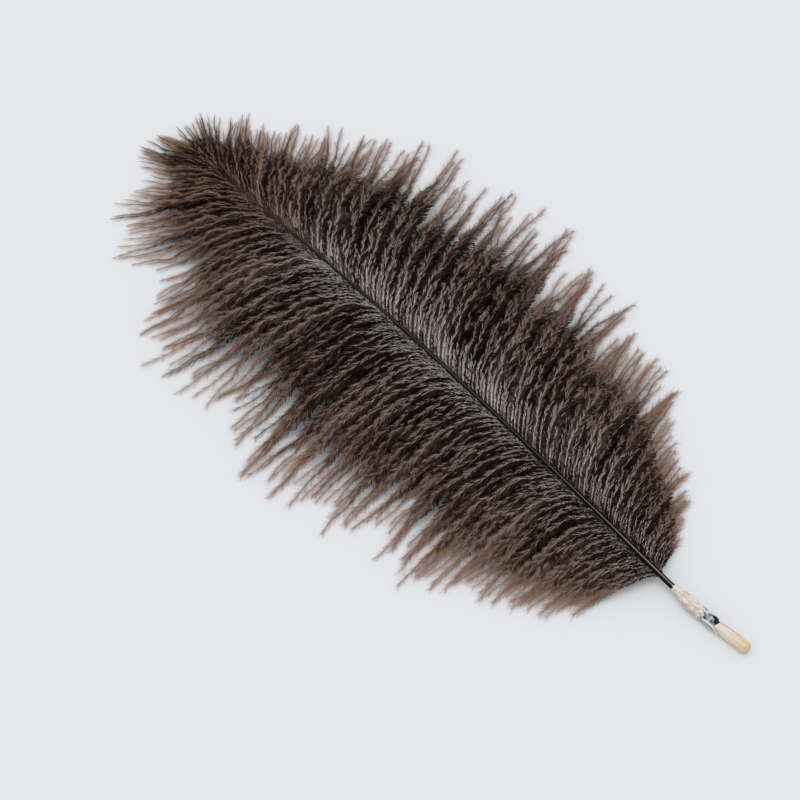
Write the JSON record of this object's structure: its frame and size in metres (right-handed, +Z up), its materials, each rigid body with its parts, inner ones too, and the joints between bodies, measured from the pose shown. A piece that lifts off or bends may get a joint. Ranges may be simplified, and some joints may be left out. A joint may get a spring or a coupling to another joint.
{
  "type": "ostrich feather",
  "caption": "Loose ostrich plume lying flat: a bare pale quill, a thin dark arched shaft and two broad soft brown vanes of drooping fluffy barbs.",
  "frame": {"origin": "middle of the feather's footprint on the surface it lies on", "axes": "+Y along the shaft from the quill's end to the tip, +X towards the right-hand vane, +Z up"},
  "size_m": [0.1042, 0.2, 0.0128],
  "materials": {
    "plume": "soft brown barbs with a grey sheen beside the shaft",
    "shaft": "nearly black horn with a thin grey shine",
    "quill": "cream horn, golden at the end, with a chalky flaking sheath"
  },
  "bodies": {
    "root": {"feather": "plume"}
  },
  "joints": []
}
